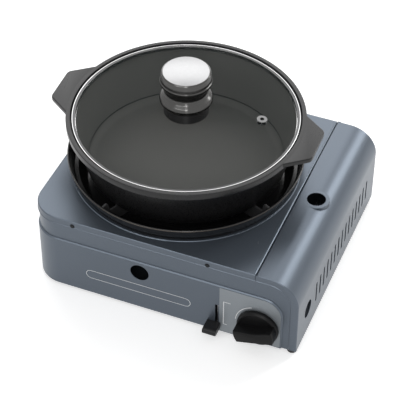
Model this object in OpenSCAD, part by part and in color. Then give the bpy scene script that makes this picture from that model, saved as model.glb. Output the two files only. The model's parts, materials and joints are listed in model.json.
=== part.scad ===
// Portable gas table stove with a black bowl, a two-handled pot and a glass lid.
// Layout frame: x from the left flange, y from the front flange, z from the table.
// placed() then moves the origin to the middle of the footprint.

/* [Stove body] */
// Width from the left flange to the right side of the cover
body_w = 340; // [336:1:360]
// Depth from the front flange to the rear flange
body_d = 291.5; // [288:0.5:310]
// Height from the table to the upper face of the top plate
body_h = 112; // [110:1:122]
// Height of the rubber feet under the base
foot_h = 4; // [3:0.5:6]
// Radius of a rubber foot
foot_r = 6; // [4:0.5:7]
// Distance of the right feet from the right and front edges
foot_in = 7; // [6.5:0.5:14]
// Thickness of the painted sheet
sheet = 0.8; // [0.6:0.1:1]
// Plan radius of the two left corners
corner_r = 36; // [24:1:40]
// Height of the flange round the top plate and the cover
flange_h = 9; // [8:0.5:12]
// How far the pressed field stands out of the walls
emboss = 2; // [1.2:0.1:2.4]
// Drop from the top plate to the upper edge of the pressed field
field_drop = 33.5; // [28:0.5:38]
// Distance of the pressed field from the right side
field_in = 18; // [16:0.5:24]
// Corner radius of the pressed field
field_r = 24; // [12:1:30]
// Spacing of the two flange screws on the front
screw_span = 170; // [120:1:200]
// Radius of the sight hole on the front
sight_r = 11.7; // [8:0.1:14]
// Drop from the top plate to the middle of the sight hole
sight_drop = 50.4; // [48:0.2:56]

/* [Cartridge cover] */
// Width of the cover from the seam to the right side
cover_w = 53.7; // [50:0.1:58]
// Radius of the curve from the top into the side
cover_r = 36; // [26:1:38]
// Outer radius of the hinge curl
curl_r = 2.2; // [2:0.1:2.8]
// Radius of the hinge rod
rod_r = 1.2; // [1:0.1:1.4]
// Radius of the finger hole and of the side hole
finger_r = 11.25; // [9:0.25:12]
// Radius of the flat boss round the finger hole
boss_r = 16; // [14:0.5:18]
// Drop from the top plate to the middle of the air slots
side_drop = 70; // [66:0.5:74]
// Number of air slots in the side
slot_count = 15; // [8:1:15]
// Pitch of the air slots
slot_pitch = 13.6; // [10:0.1:14]
// Width of an air slot
slot_w = 4.4; // [3:0.1:5]
// Height of an air slot
slot_h = 31; // [20:1:34]

/* [Burner] */
// Distance of the burner axis left of the middle of the top plate
burner_left = 2.4; // [0:0.1:5]
// Distance of the burner axis behind the middle of the top plate
burner_back = 3.85; // [0:0.05:6]
// Radius of the burner head
head_r = 38; // [34:0.5:42]
// Drop from the top plate to the top of the burner head
head_drop = 18; // [16:0.5:20]
// Outer radius of the mixing tube
tube_r = 9; // [7:0.5:10]
// Number of flame ports
port_count = 30; // [16:2:36]

/* [Bowl] */
// Distance of the ring bead from the nearest edge of the top plate
bead_margin = 1.75; // [1.5:0.05:4]
// Gap between the ring bead and the foot of the bowl wall
bead_gap = 2.5; // [2.3:0.1:4]
// How far the bowl wall leans out from its foot to its rim
bowl_flare = 7; // [6.5:0.1:8]
// Height of the bowl rim above the top plate
bowl_rise = 20.3; // [16:0.1:24]
// Depth of the basin below the top plate
basin_depth = 20; // [18:0.5:22]
// Angle of the first support fin
fin_angle = -23; // [-60:1:0]

/* [Pot] */
// How much smaller the pot rim is than the bowl rim
pot_less = 0.7; // [0.5:0.1:4]
// Height of the pot rim above the top plate
pot_rise = 75.8; // [70:0.2:90]
// Height of the pot floor above the top plate
pot_seat = 3; // [2:0.5:6]
// Wall thickness of the pot
pot_wall = 3; // [2.4:0.2:4]
// Reach of a handle beyond the pot rim
handle_out = 20.7; // [16:0.1:26]
// Width of a handle at its outer edge
handle_w = 60; // [48:1:70]
// Width of a handle at the rim
handle_root_w = 96; // [80:1:100]
// Thickness of a handle
handle_t = 6; // [5:0.5:8]
// Turn of the handles about the pot axis
handle_turn = 2; // [0:0.5:6]

/* [Lid] */
// Distance of the steel band round the glass from the pot rim
band_in = 6.2; // [6:0.1:8]
// Thickness of the glass
glass_t = 3.2; // [2.6:0.2:4]
// Rise of the glass from its edge to its middle
glass_rise = 6.8; // [3:0.2:12]
// Radius of the lid knob at its foot
knob_foot_r = 32; // [28:0.5:36]
// Radius of the lid knob at its waist
knob_waist_r = 24; // [20:0.5:26]
// Radius of the lid knob at its cap
knob_cap_r = 31; // [27:0.5:34]
// Height of the black base under the lid knob
knob_base_h = 10; // [6:0.5:14]
// Height of the steel part of the lid knob
knob_h = 49; // [40:1:60]
// Distance of the steam vent from the lid axis
vent_r = 90; // [60:1:110]

/* [Controls] */
// Distance of the ignition knob axis from the right side
dial_in = 47; // [44:0.5:50]
// Drop from the top plate to the ignition knob axis
dial_drop = 80.4; // [78:0.2:82]
// Radius of the ignition knob skirt
dial_r = 25.5; // [22:0.5:26]
// Reach of the ignition knob in front of the flange
dial_reach = 21; // [18:0.5:26]
// Tilt of the grip bar at rest
dial_tilt = 15; // [0:1:30]
// Largest turn of the ignition knob in degrees
dial_turn = 110; // [90:1:120]
// Stroke of the piezo plunger
piezo_stroke = 4; // [3:0.2:5]
// Distance of the lock lever slot from the right side
lever_in = 99.3; // [98:0.1:102]
// Drop from the top plate to the lock lever at rest
lever_drop = 97.7; // [96:0.1:99]
// Upward travel of the lock lever
lever_travel = 28; // [24:1:30]
// Rearward travel of the cartridge pusher
pusher_travel = 8; // [6:0.5:10]

/* [Cartridge bay] */
// Radius of the gas cartridge that the bay takes
cart_r = 34; // [33:0.5:34.5]
// Length of the gas cartridge that the bay takes
cart_len = 186; // [180:1:188]
// Radius of the socket for the cartridge collar
socket_r = 17.3; // [16.5:0.1:18]

/* [Hidden] */
$fn = 96;

// Colours of the finishes
paint = "#6c757e";
pale_paint = "#878d93";
black = "#1b1b1c";
iron = "#2b2b2d";
steel = "#b9bcc0";
brass = "#b8964a";
white = "#e8e6e0";

// Clearances: sheets nested in one body, faces that pass each other, and a pin that turns
fit = 0.1;
run = 0.4;
pin_fit = 0.05;
big = 400;
cut = 20;

// Main levels and lines of the shell
floor_z = foot_h + sheet;
plate_z = body_h - sheet;
wall_in = sheet + run;
field_out = wall_in - emboss;
seam_x = body_w - cover_w;
mid_x = seam_x / 2;
field_x = body_w - field_in;
field_z = body_h - field_drop;
inner_right = body_w - sheet - run;
hinge_x = seam_x + run + curl_r;
hinge_z = body_h - curl_r;
hinge_end = 6;
screw_r = 1.5;
screw_head_r = 2.7;
screw_head_t = 1;
screw_len = 5;
screw_z = body_h - 6.5;

// Cartridge bay
cart_x = body_w - cart_r - 6;
cart_z = floor_z + cart_r + 7;
partition_x = cart_x - cart_r - 4;
socket_y = 62;
socket_depth = 7;
socket_wall = 5;
needle_r = 3.5;
pusher_y = socket_y - socket_depth + cart_len + 10;

// Burner axis and the rings about it
burner_x = mid_x - burner_left;
burner_y = body_d / 2 + burner_back;
bead_ring_r = min(burner_x, seam_x - burner_x, burner_y, body_d - burner_y) - bead_margin;
bowl_foot_r = bead_ring_r - bead_gap;
bowl_r = bowl_foot_r + bowl_flare;
pot_r = bowl_r - pot_less;
handle_reach = pot_r + handle_out;
band_r = pot_r - band_in;

// Burner stack, from the top down
well_r = bowl_foot_r - 4.5;
basin_top_r = well_r - 0.6;
basin_r = basin_top_r - 9;
bowl_t = 1;
collar_r = head_r + 12;
collar_h = 8;
head_top = body_h - head_drop;
head_t = 10;
cup_top = head_top - head_t;
cup_h = 26;
cup_r = head_r - 5;
cup_t = 3;
tube_z = cup_top - cup_h / 2;
tube_wall = 1.5;

// Gas line from the regulator to the burner
outlet_x = partition_x + 8;
outlet_y = 39;
line_angle = atan2(outlet_y - burner_y, outlet_x - burner_x);
line_len = norm([outlet_x - burner_x, outlet_y - burner_y]);
bell_end = line_len - 34;
injector_tip = bell_end + 3;
injector_end = line_len - 6;
bell_len = 10;
cone_len = 12;
jet_r = 0.8;
nut_r = 6;
nut_start = injector_tip + cone_len - 2;

// Ignition knob, stem and piezo
dial_x = body_w - dial_in;
dial_z = body_h - dial_drop;
label_t = 0.4;
dial_gap = 0.8;
dial_back = field_out - label_t - dial_gap;
skirt_t = 6;
grip_t = 14;
stem_r = 3;
stem_gap = 2;
stem_end = 38;
cam_y0 = 3.5;
cam_t = 5;
cam_r = 7;
piezo_y = cam_y0 + cam_t / 2;
piezo_r = 2.5;
piezo_h = 13;
piezo_end = partition_x + sheet + 14;
reg_y0 = 18;
reg_y1 = 50;
reg_x0 = partition_x + 8;
reg_x1 = cart_x + 18;
reg_z0 = dial_z - 12;
reg_z1 = tube_z + tube_r + 2;
reg_boss_r = 8;
reg_boss_y = 11;
bracket_t = 3;
bracket_h = 36;

// Cartridge lock
lever_x = body_w - lever_in;
lever_z = body_h - lever_drop;
lever_w = 17;
lever_h = 8.6;
lever_reach = 18;
tab_x = lever_x + 5.5;
slider_y0 = 4;
side_gap = 0.3;
neck_w = 3;
neck_h = 7;
slider_t = 1.6;
slider_y1 = 34;
slider_z0 = lever_z - 7;
slider_z1 = lever_z + lever_travel + 4;
lock_pin_r = 1.5;
lock_pin_y = 14;
lock_pin_z = slider_z0 + 3.4 + lever_travel;
bar_t = 2;
bar_h = 12;
guide_t = 2;
guide_w = 10;
guide_y = [burner_y - 50, burner_y + 40];
bar_x = lever_x + 3.9;

// Pot and lid levels above the table
pot_floor = body_h + pot_seat;
rim_z = body_h + pot_rise;
ledge_z = rim_z - 6.2;
neck_r = pot_r - 5.8;
pot_base_r = pot_r - 34.8;
pot_corner = 14;
rim_lip = 4;
band_t = 0.7;
glass_r = band_r - band_t - 0.5;
glass_flat = 6;
glass_z = ledge_z + band_t + 0.2;
glass_top = glass_z + glass_t + glass_rise;
dome_r = glass_r - glass_flat;
lid_screw_r = 2.5;
lid_hole_r = 4.2;

// Corners of the footprint, for the origin
handle_corner = 9;
tip_x = (handle_reach - handle_corner) * cos(handle_turn)
  + (handle_w / 2 - handle_corner) * sin(handle_turn) + handle_corner;
left_end = min(field_out, burner_x - tip_x);
right_end = max(body_w, burner_x + tip_x);
front_end = -dial_reach;
rear_end = max(body_d - field_out + screw_head_t, burner_y + bowl_r);

// Route of the ignition lead from the piezo housing to the electrode
lead_r = 1.2;
lead_z = body_h - 26;
electrode_angle = -10;
electrode_in = head_r + 8;
electrode_out = head_r + 38;
rod_shell_r = 3;
wire_r = 0.75;
wire_depth = 16;
clip_w = 12;
clip_t = 1.5;
electrode_end = [
  burner_x + electrode_out * cos(electrode_angle),
  burner_y + electrode_out * sin(electrode_angle),
  lead_z
];
lead_top = [partition_x + 8, 7, dial_z + piezo_h / 2];
lead_route = [
  lead_top,
  lead_top + [0, 0, 12],
  lead_top + [0, 0, 26],
  lead_top + [-0.5, 0.5, 36],
  [partition_x + 5.5, 8.5, lead_z - 6],
  [partition_x + 1, 11, lead_z - 2],
  [partition_x - 4, 16, lead_z],
  [partition_x - 9, 28, lead_z],
  [partition_x - 13, 52, lead_z],
  [partition_x - 16, 80, lead_z],
  [partition_x - 21, 105, lead_z],
  [partition_x - 29, 123, lead_z],
  electrode_end + 6 * [cos(electrode_angle), sin(electrode_angle), 0],
  electrode_end
];

// Points of an arc about c from angle a0 to a1 in n steps
function arc(c, r, a0, a1, n = 8) =
  [for (i = [0:n]) let (a = a0 + (a1 - a0) * i / n) c + r * [cos(a), sin(a)]];
function unit(v) = v / norm(v);

// Ring of a swept tube about point p with tangent t
function ring(p, t, r, sides, up = unit([0.5, 0.8, 0.3])) =
  let (n = unit(up - (up * t) * t), b = cross(t, n))
  [for (k = [0:sides - 1]) p + r * (cos(360 * k / sides) * n + sin(360 * k / sides) * b)];

// Height of the upper face of the glass at radius r
function dome_z(r) = glass_z + glass_t + (r >= dome_r ? 0 : glass_rise * (1 - pow(r / dome_r, 2)));

module placed() translate([-(left_end + right_end) / 2, -(front_end + rear_end) / 2, 0]) children();
module at_burner(z = 0) translate([burner_x, burner_y, z]) children();
module along_y(y0, y1) translate([0, y1, 0]) rotate([90, 0, 0]) linear_extrude(y1 - y0) children();
module along_x(x0, x1) translate([x0, 0, 0]) rotate([90, 0, 90]) linear_extrude(x1 - x0) children();
module rod_y(x, z, r, y0, y1) translate([x, y0, z]) rotate([-90, 0, 0]) cylinder(h = y1 - y0, r = r);
module rod_x(y, z, r, x0, x1) translate([x0, y, z]) rotate([0, 90, 0]) cylinder(h = x1 - x0, r = r);
module block(a, b) translate(a) cube(b - a);
module on_line(d) at_burner(tube_z) rotate(line_angle) translate([d, 0, 0]) rotate([0, 90, 0]) children();

// Round tube along a route of points
module swept(route, r, sides = 8) {
  last = len(route) - 1;
  rings = [for (i = [0:last]) ring(route[i], unit(route[min(i + 1, last)] - route[max(i - 1, 0)]), r, sides)];
  points = [for (one = rings) for (p = one) p];
  skin = [
    for (i = [0:last - 1]) for (k = [0:sides - 1])
      let (a = i * sides + k, b = i * sides + (k + 1) % sides)
      for (face = [[a + sides, b + sides, b], [b, a, a + sides]]) face
  ];
  start = [for (k = [0:sides - 1]) k];
  end = [for (k = [sides - 1:-1:0]) last * sides + k];
  polyhedron(points, concat(skin, [start, end]));
}

// Plan outline of the shell, drawn in by inset and cut at right_x
module outline(inset, right_x) {
  translate([corner_r, inset]) square([right_x - corner_r, body_d - 2 * inset]);
  translate([inset, corner_r]) square([corner_r - inset, body_d - 2 * corner_r]);
  for (y = [corner_r, body_d - corner_r]) translate([corner_r, y]) circle(corner_r - inset);
}

// Wall of one sheet along the outline, open to the right
module band(inset, z0, z1) translate([0, 0, z0]) linear_extrude(z1 - z0) difference() {
  outline(inset, body_w);
  outline(inset + sheet, body_w + 1);
}

// Upright outline whose upper right corner is round
module arch(x0, x1, z0, z1, r) {
  translate([x0, z0]) square([x1 - r - x0, z1 - z0]);
  translate([x0, z0]) square([x1 - x0, z1 - r - z0]);
  translate([x1 - r, z1 - r]) circle(r);
}

module wall_arch() arch(-big, inner_right, foot_h, body_h - wall_in, cover_r - wall_in);
module field_arch(inset = 0) arch(-big, field_x - inset, foot_h - 1, field_z - inset, field_r - inset);
module cover_arch(inset, x0 = hinge_x, z0 = foot_h + 1)
  arch(x0, body_w - inset, z0, body_h - inset, cover_r - inset);

module body_shell() color(paint) difference() {
  union() {
    difference() {
      intersection() {
        band(wall_in, foot_h, body_h);
        along_y(-big, big) wall_arch();
      }
      along_y(-big, big) field_arch();
    }
    intersection() {
      band(field_out, foot_h, body_h);
      along_y(-big, big) field_arch();
    }
    intersection() {
      translate([0, 0, foot_h]) linear_extrude(body_h) difference() {
        outline(field_out, body_w);
        outline(wall_in + sheet, body_w + 1);
      }
      along_y(-big, big) difference() {
        field_arch();
        field_arch(sheet);
      }
    }
  }
  rod_y(mid_x, body_h - sight_drop, sight_r, -cut, cut);
  rod_y(dial_x, dial_z, stem_r + stem_gap, -cut, cut);
  along_y(-cut, cut) lever_slot();
  top_screw_axes(screw_r + fit);
  base_screw_axes(screw_r + fit);
}

// Slot of the lock lever in the front wall
module lever_slot() translate([lever_x - neck_w / 2 - run, lever_z - neck_h / 2 - run])
  square([neck_w + 2 * run, neck_h + lever_travel + 2 * run]);

module top_screw_axes(r) for (side = [-1, 1]) {
  rod_y(mid_x + side * screw_span / 2, screw_z, r, -1, 6);
  rod_y(mid_x + side * screw_span / 2, screw_z, r, body_d - 6, body_d + 1);
}

foot_stem_r = foot_r / 3;
foot_stem_h = 2;
left_foot = corner_r * 0.6;
air_ring_r = head_r + 22;
air_hole_r = 6;
base_flange = 9;
base_screw_z = foot_h + 5;
side_screw_y = corner_r + 20;
rear_screw_x = [corner_r + 30, partition_x - 12];
base_in = field_out + sheet + fit;
module base_screw_axes(r) {
  for (y = [side_screw_y, body_d - side_screw_y]) rod_x(y, base_screw_z, r, field_out - 1, field_out + 6);
  for (x = rear_screw_x)
    rod_y(x, base_screw_z, r, body_d - field_out - 6, body_d - field_out + 1);
}

module base_plan() {
  intersection() {
    outline(base_in, body_w);
    translate([-big, -big]) square([big + field_x - sheet - fit, 3 * big]);
  }
  outline(wall_in + sheet + fit, inner_right);
}

module base_plate() color(paint) difference() {
  union() {
    translate([0, 0, foot_h]) linear_extrude(sheet) base_plan();
    intersection() {
      band(base_in, foot_h, foot_h + base_flange);
      block([-big, -big, 0], [field_x - sheet - fit, big, big]);
    }
  }
  base_screw_axes(screw_r + fit);
  // The front flange stays clear of the lever, the knob stem and the slider
  block([lever_x - 8, -5, floor_z], [field_x, 6, big]);
  at_feet() cylinder(h = big, r = foot_stem_r + fit);
  for (a = [0:45:315]) at_burner() rotate(a)
    translate([air_ring_r, 0, 0]) cylinder(h = big, r = air_hole_r, center = true);
}

module at_feet() for (p = [
  [body_w - foot_in, foot_in], [body_w - foot_in, body_d - foot_in],
  [left_foot, left_foot], [left_foot, body_d - left_foot]
]) translate(p) children();

module rubber_feet() color(black) at_feet() {
  cylinder(h = foot_h, r = foot_r);
  cylinder(h = floor_z + foot_stem_h, r = foot_stem_r);
}

bead_r = 1.2;
bead_rise = 1;
module top_plate() color(paint) difference() {
  union() {
    translate([0, 0, plate_z]) linear_extrude(sheet) outline(0, seam_x);
    translate([0, 0, body_h - flange_h]) linear_extrude(flange_h) difference() {
      outline(0, seam_x);
      outline(sheet, seam_x + 1);
    }
    at_burner(body_h) rotate_extrude() intersection() {
      translate([bead_ring_r, bead_rise - bead_r]) circle(bead_r, $fn = 32);
      translate([0, -sheet / 2]) square([big, cut]);
    }
  }
  at_burner() cylinder(h = big, r = well_r);
  top_screw_axes(screw_r + fit);
}

module screw_y(x, z, face, dir) translate([x, face, z]) rotate([-90 * dir, 0, 0]) {
  translate([0, 0, -screw_head_t]) cylinder(h = screw_head_t, r1 = screw_head_r * 0.8, r2 = screw_head_r);
  cylinder(h = screw_len, r = screw_r);
}

module top_screws() color(black) for (side = [-1, 1]) {
  screw_y(mid_x + side * screw_span / 2, screw_z, 0, 1);
  screw_y(mid_x + side * screw_span / 2, screw_z, body_d, -1);
}

module base_screws() color(black) {
  for (y = [side_screw_y, body_d - side_screw_y])
    translate([field_out, y, base_screw_z]) rotate(-90) screw_y(0, 0, 0, 1);
  for (x = rear_screw_x) screw_y(x, base_screw_z, body_d - field_out, -1);
}

label_x = lever_x + 3.5;
module control_plate() color(pale_paint) difference() {
  along_y(field_out - label_t, field_out) arch(label_x, field_x - 2, foot_h + 1, field_z - 2, field_r - 2);
  rod_y(dial_x, dial_z, stem_r + stem_gap, -cut, cut);
}

lead_hole_r = 5;
slit_gap = 1.5;
module partition_wall() color(paint) difference() {
  block([partition_x, wall_in + sheet + fit, floor_z],
    [partition_x + sheet, body_d - wall_in - sheet - fit, plate_z]);
  at_burner(body_h - basin_depth - slit_gap) cylinder(h = cut + basin_depth, r = well_r);
  on_line(0) cylinder(h = line_len + cut, r = tube_r + 3);
  translate([partition_x, lead_route[5].y, lead_route[5].z - 1]) rotate([0, 90, 0])
    cylinder(h = cut, r = lead_hole_r, center = true);
  block([0, pusher_y - 4, lock_pin_z - bar_h / 2 - slit_gap],
    [big, pusher_y + pusher_travel + 8, lock_pin_z + bar_h / 2 + slit_gap]);
  block([0, heat_y0 - slit_gap, 0], [big, heat_y1 + slit_gap, floor_z + heat_t + slit_gap]);
}

ear_y = 3;
ear_t = 2;
ear_r = curl_r - 0.2;
ear_len = 18;
ear_drop = 8;
tab_t = 1.2;
tab_w = 8;
module hinge_rod() color(steel) rod_y(hinge_x, hinge_z, rod_r, ear_y - 0.4, body_d - ear_y + 0.4);

module hinge_ear() difference() {
  union() {
    along_y(ear_y, ear_y + ear_t) {
      translate([hinge_x, hinge_z]) circle(ear_r);
      translate([seam_x - ear_len, body_h - ear_drop]) square([ear_len, ear_drop - sheet]);
      translate([seam_x - 1, hinge_z - ear_r]) square([hinge_x - seam_x + 1, ear_r]);
    }
    block([seam_x - ear_len, ear_y, plate_z - tab_t], [seam_x - 1, ear_y + tab_w, plate_z]);
  }
  rod_y(hinge_x, hinge_z, rod_r + pin_fit, 0, cut);
}

module hinge_brackets() color(steel) {
  hinge_ear();
  translate([0, body_d, 0]) mirror([0, 1, 0]) hinge_ear();
}

hole_x = body_w - 31;
side_hole_y = 37.4;
side_z = body_h - side_drop;
slot_y0 = 67.5;
module cartridge_cover() color(paint) difference() {
  union() {
    along_y(0, body_d) difference() {
      cover_arch(0);
      cover_arch(sheet, -big, -big);
    }
    for (y = [0, body_d - sheet]) along_y(y, y + sheet) difference() {
      cover_arch(0);
      cover_arch(flange_h, -big, -big);
    }
    difference() {
      translate([hole_x, body_d / 2, body_h - cut]) cylinder(h = cut, r = boss_r);
      along_y(-1, body_d + 1) cover_arch(sheet, -big, -big);
    }
    rod_y(hinge_x, hinge_z, curl_r, 0, body_d);
  }
  translate([hole_x, body_d / 2, plate_z - cover_r]) cylinder(h = cover_r, r = boss_r - sheet);
  translate([hole_x, body_d / 2, body_h - cover_r]) cylinder(h = 2 * cover_r, r = finger_r);
  rod_y(hinge_x, hinge_z, rod_r + pin_fit, -1, body_d + 1);
  for (y = [-1, body_d - hinge_end]) block([0, y, 0], [hinge_x + curl_r + run, y + hinge_end + 1, big]);
  rod_x(side_hole_y, side_z, finger_r, body_w - 5, body_w + 5);
  for (i = [0:slot_count - 1]) along_x(body_w - 5, body_w + 5) air_slot(slot_y0 + i * slot_pitch);
}

// Upright slot with round ends in the side of the cover
module air_slot(y) {
  translate([y - slot_w / 2, side_z - slot_h / 2 + slot_w / 2]) square([slot_w, slot_h - slot_w]);
  for (s = [-1, 1]) translate([y, side_z + s * (slot_h - slot_w) / 2]) circle(slot_w / 2, $fn = 24);
}

port_w = 1.6;
port_h = 3;
eye_r = 6;
module burner_head() color(iron) at_burner() difference() {
  rotate_extrude() polygon([
    [eye_r, cup_top], [head_r, cup_top], [head_r, head_top - 3], [head_r - 4, head_top],
    [2 * eye_r, head_top], [eye_r, head_top - 3]
  ]);
  for (i = [0:port_count - 1]) rotate(i * 360 / port_count)
    translate([head_r - port_h, -port_w / 2, head_top - 4 - port_h]) cube([cut, port_w, port_h]);
}

module burner_body() color(steel) difference() {
  at_burner() rotate_extrude() polygon([
    [0, cup_top - cup_h], [cup_r, cup_top - cup_h], [cup_r, cup_top], [cup_r - cup_t, cup_top],
    [cup_r - cup_t, cup_top - cup_h + cup_t], [0, cup_top - cup_h + cup_t]
  ]);
  on_line(cup_r - 12) cylinder(h = 2 * cut, r = tube_r + fit);
}

stand_t = 1.5;
stand_w = 20;
module burner_stand() color(steel) at_burner() {
  translate([-cup_r, -stand_w / 2, cup_top - cup_h - stand_t]) cube([2 * cup_r, stand_w, stand_t]);
  for (x = [-cup_r, cup_r - stand_t])
    translate([x, -stand_w / 2, floor_z]) cube([stand_t, stand_w, cup_top - cup_h - floor_z]);
}

module mixing_tube() color(steel) difference() {
  union() {
    on_line(cup_r - 5) cylinder(h = bell_end - cup_r + 5, r = tube_r);
    on_line(bell_end - bell_len) cylinder(h = bell_len, r1 = tube_r, r2 = tube_r + 2);
  }
  on_line(0) cylinder(h = bell_end + 1, r = tube_r - tube_wall);
}

module injector() color(brass) difference() {
  union() {
    on_line(injector_tip) cylinder(h = cone_len, r1 = nut_r - 3.5, r2 = nut_r - 2);
    on_line(nut_start) cylinder(h = injector_end - nut_start, r = nut_r, $fn = 6);
  }
  on_line(0) cylinder(h = line_len, r = jet_r);
}

heat_t = 1.2;
heat_w = 36;
heat_in = 30;
heat_x = burner_x + heat_in;
heat_y0 = burner_y + heat_in;
heat_y1 = heat_y0 + heat_w;
module heat_plate() color(steel) {
  block([heat_x, heat_y0, floor_z], [cart_x + rail_x / 2, heat_y1, floor_z + heat_t]);
  block([heat_x, heat_y0, floor_z], [heat_x + heat_t, heat_y1, cup_top - cup_h - stand_t - run]);
}

module regulator_body() color(steel) difference() {
  union() {
    block([reg_x0, reg_y0, reg_z0], [reg_x1, reg_y1, reg_z1]);
    rod_y(dial_x, dial_z, reg_boss_r, reg_boss_y, reg_y0 + 1);
    rod_y(cart_x, cart_z, socket_r + socket_wall, reg_y1 - 1, socket_y);
    on_line(injector_end) cylinder(h = cone_len, r = nut_r + 1);
  }
  rod_y(dial_x, dial_z, stem_r + pin_fit, 0, stem_end + 2);
  rod_y(cart_x, cart_z, socket_r, socket_y - socket_depth, socket_y + 1);
  rod_y(cart_x, cart_z, needle_r, reg_y1 - 6, socket_y);
}

cap_r = 15;
cap_t = 4;
cap_h = 9;
bolt_head_t = 1.6;
cap_x = (reg_x0 + reg_x1) / 2;
cap_y = (reg_y0 + reg_y1) / 2;
module cap_bolts() for (a = [45:90:315])
  translate([cap_x, cap_y, reg_z1]) rotate(a) translate([cap_r - 4, 0, 0]) children();

module regulator_cap() color(steel) difference() {
  translate([cap_x, cap_y, reg_z1]) {
    cylinder(h = cap_t, r = cap_r);
    cylinder(h = cap_h, r = cap_r - 8);
  }
  cap_bolts() cylinder(h = cut, r = screw_r + fit, center = true);
}

module regulator_screws() color(steel) cap_bolts() {
  cylinder(h = cap_t, r = screw_r);
  translate([0, 0, cap_t]) cylinder(h = bolt_head_t, r = screw_head_r);
}

module regulator_bracket() color(steel) difference() {
  union() {
    block([reg_x0 + 2, reg_y0 - bracket_t, floor_z], [reg_x1 - 2, reg_y0, reg_z0 + bracket_h]);
    block([reg_x0 + 2, reg_y0 - bracket_t, floor_z], [reg_x1 - 2, reg_y1 - 6, floor_z + bracket_t / 2]);
  }
  rod_y(dial_x, dial_z, reg_boss_r + fit, 0, 2 * cut);
}

rail_t = 3;
rail_front = 14;
rail_back = 6;
rail_x = cart_r / 2;
rail_z = cart_z - sqrt(cart_r * cart_r - rail_x * rail_x) - 0.4;
module cartridge_cradle() color(steel) difference() {
  for (s = [-1, 1]) {
    block([cart_x + s * rail_x - rail_t / 2, socket_y + rail_front, floor_z],
      [cart_x + s * rail_x + rail_t / 2, pusher_y - rail_back, rail_z]);
  }
  block([0, heat_y0 - 1, 0], [big, heat_y1 + 1, floor_z + heat_t + 0.5]);
}

piezo_w = 11;
module piezo_housing() color(black) difference() {
  block([partition_x + sheet, piezo_y - piezo_w / 2, dial_z - piezo_h / 2],
    [piezo_end, piezo_y + piezo_w / 2, dial_z + piezo_h / 2]);
  rod_x(piezo_y, dial_z, piezo_r + pin_fit, piezo_end - 10, piezo_end + 1);
}

plunger_tip = dial_x - cam_r - 0.5;
module piezo_plunger() color(white) {
  rod_x(piezo_y, dial_z, piezo_r, piezo_end - 5, plunger_tip - piezo_r);
  translate([plunger_tip - piezo_r, piezo_y, dial_z]) rotate([0, 90, 0]) sphere(piezo_r);
}

module on_electrode(d)
  at_burner(lead_z) rotate(electrode_angle) translate([d, 0, 0]) rotate([0, 90, 0]) children();

module electrode_insulator() color(white) difference() {
  on_electrode(electrode_in) cylinder(h = electrode_out - electrode_in, r = rod_shell_r);
  on_electrode(electrode_in - 1) cylinder(h = wire_depth + 3, r = wire_r + pin_fit);
}

module electrode_wire() color(steel)
  on_electrode(head_r + 3) cylinder(h = electrode_in + wire_depth - head_r - 3, r = wire_r);

clip_reach = 10;
clip_rise = 6;
clip_gap = 0.2;
module electrode_bracket() color(steel) difference() {
  at_burner() rotate(electrode_angle) {
    translate([cup_r + clip_gap, -clip_w / 2, tube_z - 2]) cube([clip_t, clip_w, cup_top - tube_z]);
    translate([cup_r + clip_gap, -clip_w / 2, tube_z - 2])
      cube([electrode_in + clip_reach - cup_r, clip_w, clip_t]);
    translate([electrode_in + clip_reach + clip_gap - clip_t, -clip_w / 2, tube_z - 2])
      cube([clip_t, clip_w, lead_z + clip_rise - tube_z]);
  }
  on_electrode(electrode_in) cylinder(h = 2 * cut, r = rod_shell_r + fit);
}

module ignition_lead() color(black) swept(lead_route, lead_r);

knob_bore = 12;
stem_seat = 0.5;
module control_knob() color(black) difference() {
  union() {
    rod_y(dial_x, dial_z, dial_r, dial_back - skirt_t, dial_back);
    intersection() {
      translate([dial_x, 0, dial_z]) rotate([0, -dial_tilt, 0])
        block([-dial_r, -dial_reach, -grip_t / 2], [dial_r, dial_back - skirt_t + 1, grip_t / 2]);
      rod_y(dial_x, dial_z, dial_r - 0.5, -dial_reach, 0);
    }
  }
  rod_y(dial_x, dial_z, stem_r + fit, dial_back - knob_bore, 1);
}

module valve_stem() color(brass)
  rod_y(dial_x, dial_z, stem_r, dial_back - knob_bore + stem_seat, stem_end);

// Radius of the cam at angle a: it climbs as the knob turns to the spark
function cam_radius(a) = cam_r + (a > 180 || a < 180 - dial_turn ? 0 : piezo_stroke * (180 - a) / dial_turn);

module igniter_cam() color(steel) difference() {
  along_y(cam_y0, cam_y0 + cam_t) translate([dial_x, dial_z])
    polygon(concat(
      [for (a = [180 - dial_turn:5:180]) cam_radius(a) * [cos(a), sin(a)]],
      [for (a = [185:5:540 - dial_turn - 5]) cam_r * [cos(a), sin(a)]]
    ));
  rod_y(dial_x, dial_z, stem_r + fit, 0, 20);
}

module lock_lever() color(black) {
  face = field_out - run;
  block([tab_x - lever_w, face - lever_reach + lever_h / 2, lever_z - lever_h / 2],
    [tab_x, face, lever_z + lever_h / 2]);
  rod_x(face - lever_reach + lever_h / 2, lever_z, lever_h / 2, tab_x - lever_w, tab_x);
  block([lever_x - neck_w / 2, face - 1, lever_z - neck_h / 2],
    [lever_x + neck_w / 2, slider_y0, lever_z + neck_h / 2]);
}

// Upright plate with a slanted slot that drives the pusher pin
module lever_slider() color(steel) difference() {
  block([lever_x - slider_t / 2, slider_y0, slider_z0], [lever_x + slider_t / 2, slider_y1, slider_z1]);
  along_x(lever_x - cut, lever_x + cut) slider_slot();
}

slot_half = lock_pin_r + run;
module slider_slot() {
  low = [lock_pin_y + pusher_travel, lock_pin_z - lever_travel];
  high = [lock_pin_y, lock_pin_z];
  side = slot_half * unit([high.y - low.y, low.x - high.x]);
  polygon([low + side, low - side, high - side, high + side]);
  for (p = [low, high]) translate(p) circle(slot_half);
}

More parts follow.
